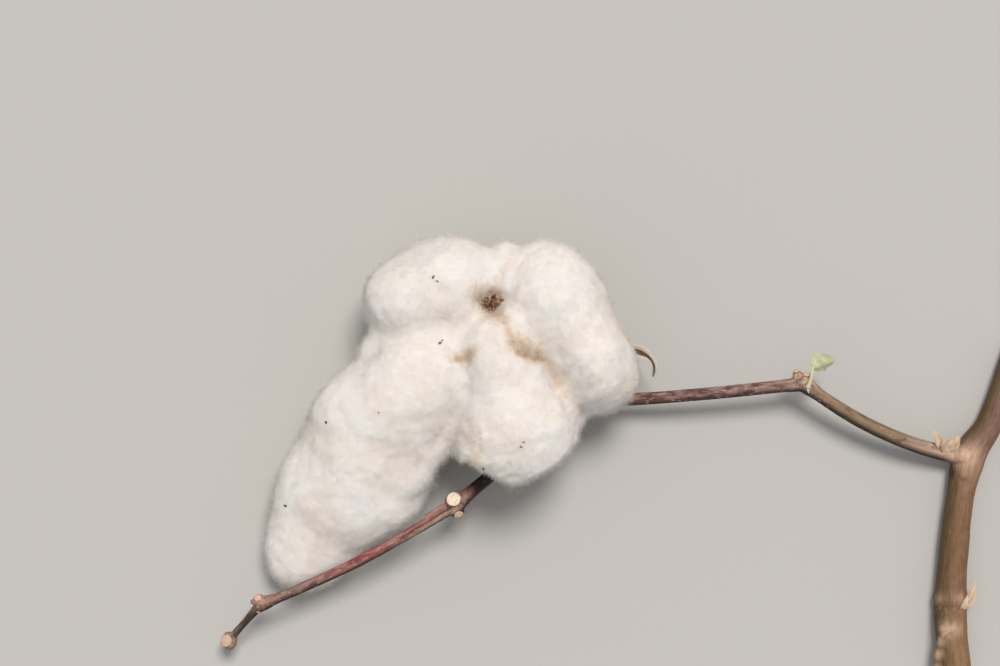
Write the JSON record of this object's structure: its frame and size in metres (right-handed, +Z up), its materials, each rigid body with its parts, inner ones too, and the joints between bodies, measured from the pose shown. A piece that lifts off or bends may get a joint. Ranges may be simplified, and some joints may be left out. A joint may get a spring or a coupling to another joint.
{
  "type": "cut cotton branch with an open boll",
  "caption": "Cut fruiting branch of a ripe cotton plant, lying flat: a piece of main stem, a zigzag branch with scars and a small leaf, and an open boll with fluffy white locks.",
  "frame": {"origin": "middle of the floor area that the cut branch covers, at the level it lies on", "axes": "+X from the tip of the branch towards the main stem, +Y up the main stem, +Z up from the floor"},
  "size_m": [0.287, 0.1548, 0.0535],
  "materials": {
    "bark": "dry purplish brown bark",
    "husk": "dry dark brown boll wall",
    "dry_bract": "papery, dull tan",
    "pale_scale": "dull pale tan",
    "green_leaf": "soft, matte yellow-green",
    "cotton": "fluffy creamy white"
  },
  "bodies": {
    "root": {"main_stem": "bark", "branch_internode_1": "bark", "branch_internode_2": "bark", "branch_internode_3": "bark", "branch_internode_4": "bark", "branch_tip": "bark", "boll_stalk": "bark", "boll_cup": "husk", "boll_carpel_1": "husk", "boll_carpel_2": "husk", "boll_carpel_3": "husk", "boll_carpel_4": "husk", "boll_bract_1": "dry_bract", "boll_bract_2": "dry_bract", "boll_bract_3": "dry_bract", "flower_remains": "husk", "young_leaf": "green_leaf", "fork_bud": "pale_scale", "stem_scale": "pale_scale", "cotton_upper_left": "cotton", "cotton_right": "cotton", "cotton_centre": "cotton", "cotton_hanging": "cotton"}
  },
  "joints": []
}
